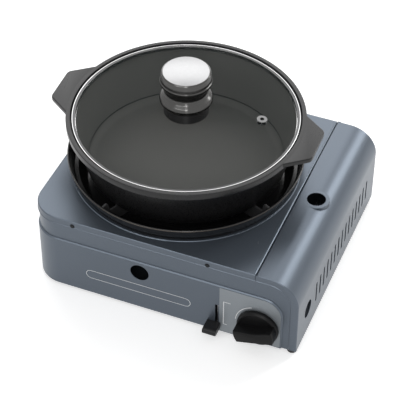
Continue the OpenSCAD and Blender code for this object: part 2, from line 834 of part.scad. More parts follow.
module slide_guide() color(steel) difference() {
  block([lever_x - 2 * slider_t, slider_y1 - 4, floor_z],
    [lever_x + 2 * slider_t, slider_y1 + 4, slider_z1 + lever_travel + 4]);
  block([lever_x - slider_t / 2 - side_gap, 0, 0],
    [lever_x + slider_t / 2 + side_gap, slider_y1 + side_gap, big]);
}

bar_over = 10;
module cartridge_pusher() color(steel) {
  rod_x(lock_pin_y, lock_pin_z, lock_pin_r, lever_x - 2, bar_x + 1);
  block([bar_x, lock_pin_y - 4, lock_pin_z - bar_h / 2],
    [bar_x + bar_t, pusher_y + bar_t, lock_pin_z + bar_h / 2]);
  block([bar_x, pusher_y, lock_pin_z - bar_h / 2],
    [cart_x + bar_over, pusher_y + bar_t, lock_pin_z + bar_h / 2]);
  rod_y(cart_x, lock_pin_z, bar_h, pusher_y - bar_t, pusher_y + 1);
}

module pusher_guides() color(steel) difference() {
  for (y = guide_y)
    block([bar_x - guide_t, y, lock_pin_z - bar_h / 2 - guide_t],
      [partition_x, y + guide_w, lock_pin_z + bar_h / 2 + guide_t]);
  block([bar_x - side_gap, 0, lock_pin_z - bar_h / 2 - side_gap],
    [bar_x + bar_t + side_gap, big, lock_pin_z + bar_h / 2 + side_gap]);
}

roll_r = 1.3;
module drip_bowl() color(black) at_burner(body_h) {
  rotate_extrude() polygon([
    [bowl_r - roll_r, bowl_rise - roll_r], [bowl_foot_r, 0], [basin_top_r, 0], [basin_r, -basin_depth],
    [collar_r, -basin_depth], [collar_r, collar_h - basin_depth], [collar_r + bowl_t, collar_h - basin_depth],
    [collar_r + bowl_t, bowl_t - basin_depth], [basin_r - bowl_t, bowl_t - basin_depth],
    [basin_top_r - bowl_t, bowl_t], [bowl_foot_r - bowl_t, bowl_t],
    [bowl_r - roll_r - bowl_t, bowl_rise - roll_r]
  ]);
  rotate_extrude() translate([bowl_r - roll_r, bowl_rise - roll_r]) circle(roll_r, $fn = 32);
}

fin_t = 2.5;
fin_gap = 0.6;
ring_w = 8;
ring_t = 2;
fin_z = bowl_t - basin_depth + 1;
module fin_side() polygon([
  [collar_r + 12, fin_z], [basin_r - bowl_t - fin_gap, fin_z],
  [basin_top_r - bowl_t - fin_gap, bowl_t], [bowl_foot_r - bowl_t - 2 * fin_gap, bowl_t],
  [bowl_foot_r - bowl_t + 2.5, bowl_rise - 6], [bowl_foot_r - 5, bowl_rise - 4],
  [basin_top_r - 2, bowl_rise - 6], [basin_top_r - 5, pot_seat], [collar_r + 12, pot_seat]
]);

module pot_support() color(iron) at_burner(body_h) {
  for (a = [0:90:270]) rotate(fin_angle + a) translate([0, fin_t / 2, 0]) rotate([90, 0, 0])
    linear_extrude(fin_t) fin_side();
  rotate_extrude() translate([collar_r + 10, bowl_t - basin_depth]) square([ring_w, ring_t]);
}

// Plan of one handle along +x, with round outer corners
module handle_plan() {
  root = [neck_r - 4, handle_root_w / 2];
  c = [handle_reach - handle_corner, handle_w / 2 - handle_corner];
  d = norm(c - root);
  a = atan2(c.y - root.y, c.x - root.x) + asin(handle_corner / d);
  touch = root + sqrt(d * d - handle_corner * handle_corner) * [cos(a), sin(a)];
  polygon([
    [root.x, -root.y], root, touch, [handle_reach, c.y], [handle_reach, -c.y], [touch.x, -touch.y]
  ]);
  for (s = [-1, 1]) translate([c.x, s * c.y]) circle(handle_corner);
}

rim_low = rim_z - 8.5;
pot_tilt = atan2(neck_r - pot_base_r - pot_corner, rim_low - pot_floor - pot_corner);
module hot_pot() color(black) at_burner() {
  rotate_extrude() polygon(concat(
    arc([pot_base_r, pot_floor + pot_corner], pot_corner, -90, -pot_tilt),
    [[neck_r, rim_low - 1], [pot_r - 1, rim_low], [pot_r, rim_low + 1]],
    [[pot_r, rim_z - 1], [pot_r - 1, rim_z]],
    [[pot_r - rim_lip, rim_z], [pot_r - rim_lip, ledge_z], [neck_r - pot_wall, ledge_z]],
    arc([pot_base_r, pot_floor + pot_corner], pot_corner - pot_wall, -pot_tilt, -90)
  ));
  difference() {
    for (turn = [0, 180]) rotate(handle_turn + turn)
      translate([0, 0, rim_z - handle_t]) linear_extrude(handle_t) handle_plan();
    cylinder(h = big, r = pot_r - rim_lip / 2);
  }
}

module pot_base() color(black) at_burner()
  translate([0, 0, pot_floor]) cylinder(h = pot_wall, r = pot_base_r);

vent_angle = 14;
module at_vent() at_burner() rotate(vent_angle) translate([vent_r, 0, dome_z(vent_r) - glass_t / 2])
  rotate([0, atan(2 * glass_rise * vent_r / (dome_r * dome_r)), 0]) children();

vent_hole = 4;
module lid_glass() color("#c9d3d6", 0.35) difference() {
  at_burner() rotate_extrude() polygon(concat(
    [for (i = [0:14]) let (r = lid_hole_r + (dome_r - lid_hole_r) * i / 14) [r, dome_z(r)]],
    [[glass_r, dome_z(glass_r)], [glass_r, glass_z]],
    [for (i = [14:-1:0]) let (r = lid_hole_r + (dome_r - lid_hole_r) * i / 14) [r, dome_z(r) - glass_t]]
  ));
  at_vent() cylinder(h = 2 * cut, r = vent_hole + fit, center = true);
}

module lid_band() color(steel) at_burner() rotate_extrude() difference() {
  translate([glass_r - 4.5, ledge_z]) square([band_r - glass_r + 4.5, glass_t + 2 * band_t + 0.4]);
  translate([0, ledge_z + band_t]) square([glass_r + 0.2, glass_t + 0.4]);
}

module steam_vent() color(steel) at_vent() difference() {
  union() {
    cylinder(h = glass_t + 2, r = vent_hole, center = true);
    translate([0, 0, glass_t / 2 + 0.1]) cylinder(h = 1, r = vent_hole + 2.5);
    translate([0, 0, -glass_t / 2 - 1.1]) cylinder(h = 1, r = vent_hole + 2);
  }
  cylinder(h = 2 * cut, r = vent_hole - 1.5, center = true);
}

knob_z = glass_top + knob_base_h;
knob_t = 1.2;
// Outline of the lid knob from its foot to its cap, drawn in by inset
function knob_side(inset) = [
  [knob_foot_r - 1.5 - inset, 0], [knob_foot_r - inset, 1.2], [knob_foot_r - 0.6 - inset, 3],
  [knob_waist_r + 2.5 - inset, 8.5], [knob_waist_r - inset, 12.5], [knob_waist_r + 1 - inset, knob_h - 27],
  [knob_cap_r - 4 - inset, knob_h - 18], [knob_cap_r - inset, knob_h - 14], [knob_cap_r - inset, knob_h - 11],
  [knob_cap_r - 1.2 - inset, knob_h - 10], [knob_cap_r - 0.6 - inset, knob_h - 8.6],
  [knob_cap_r - 2 - inset, knob_h - 2 - inset], [knob_cap_r - 3.2 - inset, knob_h - inset]
];

module lid_knob() color(steel) at_burner(knob_z) rotate_extrude()
  polygon(concat(
    knob_side(0), [[0, knob_h], [0, knob_h - knob_t]], [for (i = [12:-1:0]) knob_side(knob_t)[i]]
  ));

post_r = 9;
module lid_knob_base() color(black) at_burner() difference() {
  rotate_extrude() polygon([
    [lid_screw_r + fit, glass_top], [knob_foot_r - 7, glass_top], [knob_foot_r - 5, glass_top + 2],
    [knob_foot_r - 5, knob_z], [post_r, knob_z], [post_r, knob_z + knob_h - knob_t],
    [lid_screw_r + fit, knob_z + knob_h - knob_t]
  ]);
  for (z = [glass_top + 3.5:2:knob_z - 1]) translate([0, 0, z]) rotate_extrude()
    translate([knob_foot_r - 5, 0]) circle(0.4, $fn = 16);
}

washer_t = 1.6;
washer_r = 11;
lid_screw_len = 30;
lid_screw_head_t = 2.4;
module lid_knob_washer() color(black) at_burner(glass_top - glass_t - washer_t) difference() {
  cylinder(h = washer_t - fit, r = washer_r);
  cylinder(h = cut, r = lid_screw_r + fit, center = true);
}

module lid_knob_screw() color(steel) at_burner(glass_top - glass_t - washer_t) {
  translate([0, 0, -lid_screw_head_t])
    cylinder(h = lid_screw_head_t, r1 = 1.6 * lid_screw_r, r2 = 2 * lid_screw_r);
  cylinder(h = lid_screw_len, r = lid_screw_r);
}

placed() body_shell();
placed() base_plate();
placed() top_plate();
placed() control_plate();
placed() partition_wall();
placed() rubber_feet();
placed() top_screws();
placed() base_screws();
placed() hinge_rod();
placed() hinge_brackets();
placed() cartridge_cover();
placed() burner_body();
placed() burner_head();
placed() burner_stand();
placed() mixing_tube();
placed() injector();
placed() heat_plate();
placed() regulator_body();
placed() regulator_cap();
placed() regulator_screws();
placed() regulator_bracket();
placed() cartridge_cradle();
placed() piezo_housing();
placed() piezo_plunger();
placed() electrode_insulator();
placed() electrode_wire();
placed() electrode_bracket();
placed() ignition_lead();
placed() control_knob();
placed() valve_stem();
placed() igniter_cam();
placed() lock_lever();
placed() lever_slider();
placed() slide_guide();
placed() cartridge_pusher();
placed() pusher_guides();
placed() drip_bowl();
placed() pot_support();
placed() hot_pot();
placed() pot_base();
placed() lid_glass();
placed() lid_band();
placed() steam_vent();
placed() lid_knob();
placed() lid_knob_base();
placed() lid_knob_washer();
placed() lid_knob_screw();
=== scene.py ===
import json
import math

import bmesh
import bpy
from mathutils import Matrix, Vector


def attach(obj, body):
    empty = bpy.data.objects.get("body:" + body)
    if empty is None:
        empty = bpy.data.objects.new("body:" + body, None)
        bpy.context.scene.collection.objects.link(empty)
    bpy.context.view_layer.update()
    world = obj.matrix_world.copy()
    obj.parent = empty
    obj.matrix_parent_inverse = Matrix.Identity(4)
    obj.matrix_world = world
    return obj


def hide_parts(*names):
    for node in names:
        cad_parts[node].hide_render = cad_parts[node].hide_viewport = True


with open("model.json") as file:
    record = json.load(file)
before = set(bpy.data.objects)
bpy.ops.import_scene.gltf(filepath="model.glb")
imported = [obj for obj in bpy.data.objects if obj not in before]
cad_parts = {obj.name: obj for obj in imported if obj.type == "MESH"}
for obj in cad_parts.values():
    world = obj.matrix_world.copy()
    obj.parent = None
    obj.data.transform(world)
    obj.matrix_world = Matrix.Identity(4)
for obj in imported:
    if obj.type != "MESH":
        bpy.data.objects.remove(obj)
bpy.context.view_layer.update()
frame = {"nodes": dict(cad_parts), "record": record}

# Layout frame of the part in millimetres: x from the left flange, y from the front flange, z from the table
ORIGIN_X, ORIGIN_Y = 158.3056, 136.15
BURNER_X, BURNER_Y = 140.75, 149.6
WIDTH, DEPTH, TOP = 340.0, 291.5, 112.0
CORNER, SHEET, FLANGE = 36.0, 0.8, 9.0
BODY_OF = {n: b for b, nodes in frame["record"]["behaviour"]["bodies"].items() for n in nodes}
SLOT_OF = {s["node"]: s["material_slot"] for s in frame["record"]["subparts"]}


def at(x, y, z):
    """Point of the frame, in metres, for a point of the layout."""
    return Vector(((x - ORIGIN_X) / 1000, (y - ORIGIN_Y) / 1000, z / 1000))


def layout(p):
    """Point of the layout for a point of the frame."""
    return p.x * 1000 + ORIGIN_X, p.y * 1000 + ORIGIN_Y, p.z * 1000


# Materials


def material(name, color, rough, metal=0.0, spec=0.5, grain=None, bump=0.0, vary=0.08, clear=0.0, lathe=0.0):
    """Principled material. grain is a noise's scale and reach in roughness, lathe the sheen of turning."""
    m = bpy.data.materials.new(name)
    m.use_nodes = True
    tree = m.node_tree
    b = tree.nodes["Principled BSDF"]
    b.inputs["Base Color"].default_value = (*color, 1)
    b.inputs["Roughness"].default_value = rough
    b.inputs["Metallic"].default_value = metal
    b.inputs["Specular IOR Level"].default_value = spec
    if clear:
        b.inputs["Alpha"].default_value = 1 - clear
    if lathe:
        b.inputs["Anisotropic"].default_value = lathe
        b.inputs["Anisotropic Rotation"].default_value = 0.25
        around = tree.nodes.new("ShaderNodeTangent")
        around.direction_type = "RADIAL"
        around.axis = "Z"
        tree.links.new(around.outputs["Tangent"], b.inputs["Tangent"])
    if grain:
        scale, spread = grain
        pos = tree.nodes.new("ShaderNodeTexCoord")
        noise = tree.nodes.new("ShaderNodeTexNoise")
        noise.inputs["Scale"].default_value = scale
        noise.inputs["Detail"].default_value = 3
        tree.links.new(pos.outputs["Object"], noise.inputs["Vector"])
        gloss = tree.nodes.new("ShaderNodeMapRange")
        gloss.inputs["To Min"].default_value = max(rough - spread, 0.02)
        gloss.inputs["To Max"].default_value = rough + spread
        tree.links.new(noise.outputs["Fac"], gloss.inputs["Value"])
        tree.links.new(gloss.outputs["Result"], b.inputs["Roughness"])
        fleck = tree.nodes.new("ShaderNodeValToRGB")
        for stop, k in zip(fleck.color_ramp.elements, (1 - vary, 1 + vary)):
            stop.color = (*(min(c * k, 1) for c in color), 1)
        tree.links.new(noise.outputs["Fac"], fleck.inputs["Fac"])
        tree.links.new(fleck.outputs["Color"], b.inputs["Base Color"])
        if bump:
            relief = tree.nodes.new("ShaderNodeBump")
            relief.inputs["Strength"].default_value = bump
            relief.inputs["Distance"].default_value = 0.0002
            tree.links.new(noise.outputs["Fac"], relief.inputs["Height"])
            tree.links.new(relief.outputs["Normal"], b.inputs["Normal"])
    return m


PAINT = material("paint", (0.102, 0.122, 0.149), 0.35, metal=0.62, grain=(900, 0.04), bump=0.02)
PALE = material("pale_paint", (0.234, 0.256, 0.276), 0.42, metal=0.5, grain=(900, 0.04), bump=0.02)
BLACK = material("black_plastic", (0.006, 0.006, 0.0063), 0.34, spec=0.13, grain=(1400, 0.05), bump=0.04)
# Lighter copy of the black plastic for the lever: painted light on its top face
LEVER_PAINTED_LIGHT = material("lever_painted_light", (0.014, 0.014, 0.0148), 0.4, spec=0.22, grain=(1400, 0.05), bump=0.04)
ENAMEL = material("enamel", (0.01, 0.01, 0.0105), 0.2, spec=0.45, grain=(300, 0.03))
POT = material("pot_coat", (0.008, 0.008, 0.0085), 0.28, spec=0.32, grain=(900, 0.04), bump=0.01)
POT_IN = material("pot_inside", (0.085, 0.083, 0.079), 0.6, spec=0.12, grain=(700, 0.04), vary=0.12)
IRON = material("fin_iron", (0.075, 0.075, 0.078), 0.35, metal=0.3, grain=(400, 0.06))
STEEL = material("steel", (0.7, 0.7, 0.71), 0.3, metal=1.0, grain=(400, 0.05))
# Mirror steel with its colour darkened: painted dark reflections of its surroundings
MIRROR_PAINTED_REFLECTION = material("mirror_steel", (0.11, 0.11, 0.11), 0.14, metal=1.0, grain=(200, 0.02))
# Chrome of the lid knob with its colour darkened: painted dark reflections of its surroundings, the lamps
# giving its streaks
KNOB_PAINTED_REFLECTION = material("chrome_painted_dark_reflection", (0.085, 0.084, 0.082), 0.2, metal=1.0, grain=(200, 0.02), lathe=0.85)
CAP = material("brushed_cap", (0.37, 0.37, 0.374), 0.4, metal=1.0, grain=(300, 0.04))
BAND = material("band_steel", (0.5, 0.5, 0.5), 0.22, metal=1.0, grain=(400, 0.04))
# Darker copy of the band's steel for its inner bead: painted shade
BAND_PAINTED_SHADE = material("band_steel_painted_shade", (0.15, 0.15, 0.15), 0.3, metal=1.0, grain=(400, 0.04))
ALU = material("aluminium", (0.68, 0.68, 0.69), 0.42, metal=1.0, grain=(500, 0.06))
BRASS = material("brass", (0.74, 0.54, 0.24), 0.28, metal=1.0, grain=(400, 0.05))
# Bronze colour for a thin ring on the bowl's rim: painted highlight
BRONZE_PAINTED_HIGHLIGHT = material("bronze_painted_highlight", (0.13, 0.102, 0.076), 0.3, metal=1.0, grain=(300, 0.05))
# Glass as a faint lamp-lit tinted veil with no specular reflection: painted sheen in place of the pane's
# reflections
GLASS_PAINTED_SHEEN = material("glass", (0.205, 0.24, 0.233), 0.05, spec=0.0, grain=(60, 0.02), vary=0.03, clear=0.96)
CERAMIC = material("ceramic", (0.8, 0.79, 0.75), 0.2, grain=(300, 0.03))
RUBBER = material("rubber", (0.012, 0.012, 0.012), 0.7, grain=(900, 0.06), bump=0.05)
DARK = material("dark_screw", (0.007, 0.008, 0.01), 0.45, spec=0.2, grain=(500, 0.05))
PRINT = material("print", (0.8, 0.81, 0.82), 0.5, grain=(800, 0.05))
BY_SLOT = {
    "paint": PAINT, "pale_paint": PALE, "black_plastic": BLACK, "enamel": ENAMEL, "pot_coat": POT,
    "fin_iron": IRON, "steel": STEEL, "mirror_steel": MIRROR_PAINTED_REFLECTION, "aluminium": ALU, "brass": BRASS,
    "glass": GLASS_PAINTED_SHEEN, "ceramic": CERAMIC, "rubber": RUBBER,
}

# Pieces from meshes


def shade(mesh, angle):
    mesh.shade_smooth()
    mesh.set_sharp_from_angle(angle=math.radians(angle))


def finished(obj, body, mat, nodes):
    """Links a new piece, gives it its material, lets it ride on its body and hides the CAD parts it
    replaces.
    """
    obj.data.materials.clear()
    obj.data.materials.append(mat)
    bpy.context.scene.collection.objects.link(obj)
    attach(obj, body)
    if nodes:
        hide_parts(*nodes)
    return obj


def from_bmesh(bm, name, body, mat, nodes=(), angle=32):
    bmesh.ops.recalc_face_normals(bm, faces=bm.faces)
    mesh = bpy.data.meshes.new(name)
    bm.to_mesh(mesh)
    bm.free()
    shade(mesh, angle)
    return finished(bpy.data.objects.new(name, mesh), body, mat, nodes)


def refined(node, width, segments=2, mat=None, wide=None):
    """Copy of a CAD node, its outer edges rounded by width, but by wide[1] where wide[0] holds."""
    hard_angle, flat_angle, smooth_angle = math.radians(28), math.radians(0.6), 40
    src = frame["nodes"][node]
    bm = bmesh.new()
    bm.from_mesh(src.data)
    bmesh.ops.transform(bm, matrix=src.matrix_world, verts=bm.verts)
    bmesh.ops.remove_doubles(bm, verts=bm.verts, dist=3e-6)
    bmesh.ops.dissolve_limit(bm, angle_limit=flat_angle, verts=bm.verts, edges=bm.edges)
    passes = [(None, width, segments)]
    if wide:
        passes.insert(0, (*wide, 1))
    for test, size, steps in passes:
        hard = [
            e for e in bm.edges
            if len(e.link_faces) == 2 and e.calc_face_angle_signed() > hard_angle
            and (test is None or test((e.verts[0].co + e.verts[1].co) / 2))
        ]
        bmesh.ops.bevel(
            bm, geom=hard, offset=size / 1000, offset_type="OFFSET", segments=steps, profile=0.5,
            affect="EDGES", clamp_overlap=False, loop_slide=True,
        )
    bmesh.ops.triangulate(bm, faces=[f for f in bm.faces if len(f.verts) > 4])
    mesh = bpy.data.meshes.new(node + "_shown")
    bm.to_mesh(mesh)
    bm.free()
    if "custom_normal" in mesh.attributes:
        mesh.attributes.remove(mesh.attributes["custom_normal"])
    shade(mesh, smooth_angle)
    slot = SLOT_OF[node]
    piece = bpy.data.objects.new(node + "_shown", mesh)
    finished(piece, BODY_OF[node], mat or BY_SLOT[slot], [node])
    flat = piece.modifiers.new("flat_faces", "WEIGHTED_NORMAL")
    flat.keep_sharp = True


# Outlines and the pieces turned or cut from them


def arc(cx, cy, r, a0, a1, n=10):
    """Points on a circle from angle a0 to a1, in degrees."""
    angles = [math.radians(a0 + (a1 - a0) * k / n) for k in range(n + 1)]
    return [(cx + r * math.cos(a), cy + r * math.sin(a)) for a in angles]


def raised(base, points):
    """Outline of (radius, height) with its heights counted from base."""
    return [(r, base + z) for r, z in points]


def fillet(points, radii, steps=5):
    """Outline with each corner rounded by its radius. The two ends have none."""
    out = []
    for i, (p, r) in enumerate(zip(points, radii)):
        if not r:
            out.append(p)
            continue
        a, b, c = Vector(points[i - 1]), Vector(p), Vector(points[i + 1])
        u, v = (a - b).normalized(), (c - b).normalized()
        half = u.angle(v) / 2
        d = min(r / math.tan(half), (a - b).length * 0.49, (c - b).length * 0.49)
        r = d * math.tan(half)
        centre = b + (u + v).normalized() * (r / math.sin(half))
        s, e = b + u * d - centre, b + v * d - centre
        total = s.angle_signed(e)
        for k in range(steps + 1):
            t = s.copy()
            t.rotate(Matrix.Rotation(-total * k / steps, 2))
            out.append(tuple(centre + t))
    return out


def turned(name, outline, body, mat, nodes=(), closed=True, segments=192, matrix=None):
    """Turns an outline of (radius, height) in millimetres, about the burner axis unless matrix is given."""
    bm = bmesh.new()
    angles = [2 * math.pi * k / segments for k in range(segments)]
    rings = []
    for r, z in outline:
        if r < 1e-6:
            rings.append([bm.verts.new((0, 0, z))])
        else:
            rings.append([bm.verts.new((r * math.cos(a), r * math.sin(a), z)) for a in angles])
    pairs = list(zip(rings, rings[1:]))
    if closed:
        pairs.append((rings[-1], rings[0]))
    for a, b in pairs:
        if len(a) == 1 and len(b) == 1:
            continue
        for k in range(segments):
            n = (k + 1) % segments
            quad = [a[k % len(a)], a[n % len(a)], b[n % len(b)], b[k % len(b)]]
            face = list(dict.fromkeys(quad))
            if len(face) > 2:
                bm.faces.new(face)
    bmesh.ops.scale(bm, vec=(0.001, 0.001, 0.001), verts=bm.verts)
    place = matrix or Matrix.Translation(at(BURNER_X, BURNER_Y, 0))
    bmesh.ops.transform(bm, matrix=place, verts=bm.verts)
    return from_bmesh(bm, name, body, mat, nodes)


def extruded(name, outline, depth, width, body, mat, matrix, nodes=(), low=True):
    """Plate from an outline in millimetres, its edges rounded by width, the lower ones only with low."""
    bm = bmesh.new()
    base = [bm.verts.new((x, y, 0)) for x, y in outline]
    made = bmesh.ops.extrude_face_region(bm, geom=[bm.faces.new(base)])
    top = [v for v in made["geom"] if isinstance(v, bmesh.types.BMVert)]
    bmesh.ops.translate(bm, vec=(0, 0, depth), verts=top)
    if width:
        ends = [0, depth] if low else [depth]
        rim = [
            e for e in bm.edges
            if any(all(abs(v.co.z - z) < 1e-6 for v in e.verts) for z in ends)
        ]
        bmesh.ops.bevel(
            bm, geom=rim, offset=width, segments=4, profile=0.5, affect="EDGES", clamp_overlap=False,
        )
    bmesh.ops.scale(bm, vec=(0.001, 0.001, 0.001), verts=bm.verts)
    bmesh.ops.transform(bm, matrix=matrix, verts=bm.verts)
    from_bmesh(bm, name, body, mat, nodes, 40)


def bead(name, path, radius, body, flat):
    """Painted four-sided bead along an open path of points in millimetres, in a plane square to flat."""
    bm = bmesh.new()
    rings = []
    up = Vector(flat)
    for i, p in enumerate(path):
        t = (Vector(path[min(i + 1, len(path) - 1)]) - Vector(path[max(i - 1, 0)])).normalized()
        out = t.cross(up)
        rings.append([bm.verts.new(at(*(Vector(p) + radius * way))) for way in (up, out, -up, -out)])
    for a, b in zip(rings, rings[1:]):
        for k in range(4):
            n = (k + 1) % 4
            bm.faces.new((a[k], a[n], b[n], b[k]))
    bm.faces.new(rings[0])
    bm.faces.new(rings[-1])
    from_bmesh(bm, name, body, PAINT, (), 60)


def stripe(name, path, width, y):
    """Printed line on the front, through points (x, z) in millimetres."""
    thick = 0.1
    bm = bmesh.new()
    rings = []
    n = len(path)
    loop = path[0] == path[-1]
    for i, p in enumerate(path):
        a = Vector(path[i - 1] if i else (path[-2] if loop else p))
        b = Vector(path[i + 1] if i < n - 1 else (path[1] if loop else p))
        t = (b - a).normalized()
        side = Vector((-t.y, t.x)) * (width / 2)
        rings.append([
            bm.verts.new(at(p[0] + s * side.x, y + d, p[1] + s * side.y))
            for s, d in ((-1, 0), (1, 0), (1, thick), (-1, thick))
        ])
    if loop:
        for v in rings.pop():
            bm.verts.remove(v)
    for a, b in zip(rings, rings[1:] + rings[:1] if loop else rings[1:]):
        for k in range(4):
            bm.faces.new((a[k], a[(k + 1) % 4], b[(k + 1) % 4], b[k]))
    if not loop:
        bm.faces.new(rings[0])
        bm.faces.new(rings[-1])
    from_bmesh(bm, name, "stove", PRINT)


# Pot
POT_FLOOR, RIM, LEDGE = TOP + 3, TOP + 75.8, TOP + 69.6
POT_WALL, BEND, BEND_AT = 3.0, 14.0, 108.0
WALL_R, LIP_R, SEAT_R, LEDGE_R = 137.0, 142.8, 137.5, 134.0
TILT = math.degrees(math.atan2(WALL_R - BEND_AT - BEND, RIM - 8.5 - POT_FLOOR - BEND))
BEND_Z = POT_FLOOR + BEND
INSIDE = (120.0, TOP + 28)
# The outline runs up the outside, over the rim to just below the ledge and down the inside
outer = [(0.0, POT_FLOOR), (104.0, POT_FLOOR)] + arc(BEND_AT, BEND_Z, BEND, -80, -TILT, 8)
rim_part = fillet(
    [
        outer[-1], (WALL_R, RIM - 9.5), (LIP_R, RIM - 8.3), (LIP_R, RIM), (SEAT_R, RIM),
        (SEAT_R, LEDGE), (LEDGE_R, LEDGE), INSIDE,
    ],
    [0, 1.5, 1.4, 0.8, 0.45, 0.5, 1.0, 0],
)
inner = arc(BEND_AT, BEND_Z, BEND - POT_WALL, -TILT, -90, 8) + [(0.0, POT_FLOOR + POT_WALL)]
cut = next(i for i, p in enumerate(rim_part) if abs(p[0] - LEDGE_R) < 2 and p[1] < LEDGE - 0.2)
pot = turned(
    "pot_wall", outer + rim_part[1:cut + 1] + inner, "pot", POT, ["hot_pot", "pot_base"],
    closed=False,
)
pot.data.materials.append(POT_IN)
for face in pot.data.polygons:
    height = face.center.z * 1000
    far = (face.center - at(BURNER_X, BURNER_Y, 0)).to_2d().length * 1000
    skin = LEDGE_R - (LEDGE - height) * math.tan(math.radians(TILT)) + 0.8
    if POT_FLOOR + POT_WALL / 2 < height < LEDGE - 0.3 and far < skin:
        face.material_index = 1

HANDLE_T, HANDLE_EDGE, HANDLE_TURN = 6.0, 1.2, 2


def handle_plan():
    """Handle with straight flanks from its root on the pot to round corners."""
    root, c, rad = (133.0, 48.0), (154.5, 21.0), 9.0
    d = math.hypot(c[0] - root[0], c[1] - root[1])
    a = math.atan2(c[1] - root[1], c[0] - root[0]) + math.asin(rad / d)
    reach = math.sqrt(d * d - rad * rad)
    touch = (root[0] + reach * math.cos(a), root[1] + reach * math.sin(a))
    a1 = math.degrees(math.atan2(touch[1] - c[1], touch[0] - c[0]))
    side = arc(c[0], c[1], rad, 0, a1) + [root]
    half = math.degrees(math.atan2(root[1], root[0]))
    back = arc(0, 0, math.hypot(*root), half, -half, 16)[1:-1]
    return [(x, -y) for x, y in reversed(side)] + side + back


for k, turn in enumerate((HANDLE_TURN, HANDLE_TURN + 180)):
    place = Matrix.Translation(at(BURNER_X, BURNER_Y, RIM - HANDLE_T))
    place = place @ Matrix.Rotation(math.radians(turn), 4, "Z")
    extruded(
        f"pot_handle_{k}", handle_plan(), HANDLE_T, HANDLE_EDGE, "pot", POT, place, ["hot_pot"],
    )

# Lid: pane, rim band with its bead and groove, a dark sheet of painted shade in the groove, and steam vent
GLASS_Z, GLASS_T, RISE, HOLE_R, DOME_R, GLASS_R = LEDGE + 0.9, 3.2, 6.8, 4.2, 129.4, 135.4
GLASS_TOP = GLASS_Z + GLASS_T + RISE


def dome(r):
    """Height of the pane's upper face at a radius."""
    return GLASS_Z + GLASS_T + (0 if r >= DOME_R else RISE * (1 - (r / DOME_R) ** 2))


rows = [HOLE_R + (DOME_R - HOLE_R) * k / 40 for k in range(41)]
pane = [(r, dome(r)) for r in rows] + [(GLASS_R, dome(GLASS_R)), (GLASS_R, GLASS_Z)]
pane += [(r, dome(r) - GLASS_T) for r in reversed(rows)]
# The pane is the faint veil: painted sheen
turned("lid_pane", pane, "lid", GLASS_PAINTED_SHEEN, ["lid_glass"])

BAND_IN, BAND_OUT, BAND_T, BAND_H = 130.9, 136.6, 0.7, 4.1
GROOVE_IN, GROOVE_OUT, GRIP_R = 132.45, 134.25, GLASS_R + 0.2
band = [
    (BAND_IN, 0.0), (BAND_OUT, 0.0), (BAND_OUT, 2.0), (135.7, 2.8), (135.6, 5.0), (134.5, 5.0), (134.2, 4.2),
    (131.7, 4.15), (131.7, BAND_H), (GRIP_R, BAND_H), (GRIP_R, BAND_T), (BAND_IN, BAND_T),
]
turned(
    "lid_rim", fillet(raised(LEDGE, band), [0, 0.6, 0.5, 0.4, 0.4, 0.4, 0.2, 0, 0, 0.02, 0.3, 0]),
    "lid", BAND, ["lid_band"],
)
# Inner bead of the band in the darker steel copy: painted shade
turned("lid_rim_inner", arc(132.1, LEDGE + 4.25, 0.4, 0, 330, 11), "lid", BAND_PAINTED_SHADE)
# Dark sheet laid in the band's groove: painted shade
groove_shade = [(GROOVE_IN, 4.22), (GROOVE_OUT, 4.27), (GROOVE_OUT, BAND_H), (GROOVE_IN, BAND_H)]
turned("lid_rim_groove_shade", raised(LEDGE, groove_shade), "lid", IRON)

VENT_R, VENT_TURN = 90.0, 14
vent_at = Matrix.Translation(at(BURNER_X, BURNER_Y, 0)) @ Matrix.Rotation(math.radians(VENT_TURN), 4, "Z")
vent_at = vent_at @ Matrix.Translation((VENT_R / 1000, 0, (dome(VENT_R) - GLASS_T / 2) / 1000))
vent_at = vent_at @ Matrix.Rotation(math.atan(2 * RISE * VENT_R / DOME_R**2), 4, "Y")
# The eyelet is in the darkened mirror steel: painted dark reflection
turned(
    "vent_eyelet",
    fillet(
        [(2.5, -2.7), (6.0, -2.7), (6.0, -1.7), (4.0, -1.7), (4.0, 1.7), (6.5, 1.7), (6.5, 2.7), (2.5, 2.7)],
        [0, 0.4, 0.2, 0, 0, 0.3, 0.8, 0],
    ),
    "lid", MIRROR_PAINTED_REFLECTION, ["steam_vent"], segments=48, matrix=vent_at,
)

# Lid knob: metal shell, cap and ridged black seat
KNOB_Z, KNOB_H, SHELL_FOOT, KNOB_SIDES = GLASS_TOP + 10, 49.0, 3.5, 128
STUD_R, SCREW_R, RIDGES, RIDGED_H = 9.0, 2.6, 25, 12.0
shell_out = [
    (26.2, SHELL_FOOT), (28.2, 4.2), (31.4, 8.2), (31.7, 11.2), (30.2, 14.8), (26.6, 18.0), (24.3, 22.5),
    (27.0, 30.0), (31.0, 34.5), (31.0, 37.6), (29.6, 38.3), (30.6, 39.4),
    (30.3, 42.6), (29.0, 47.6), (27.8, 48.9), (27.4, 48.9),
]
shell_round = [0, 2, 5, 3, 5, 5, 8, 6, 1.2, 0.8, 0.4, 0.6, 3, 1.0, 0.3, 0]
shell_in = [(26.0, 47.8), (28.5, 36.0), (22.8, 22.0), (25.0, 8.0), (25.2, SHELL_FOOT)]
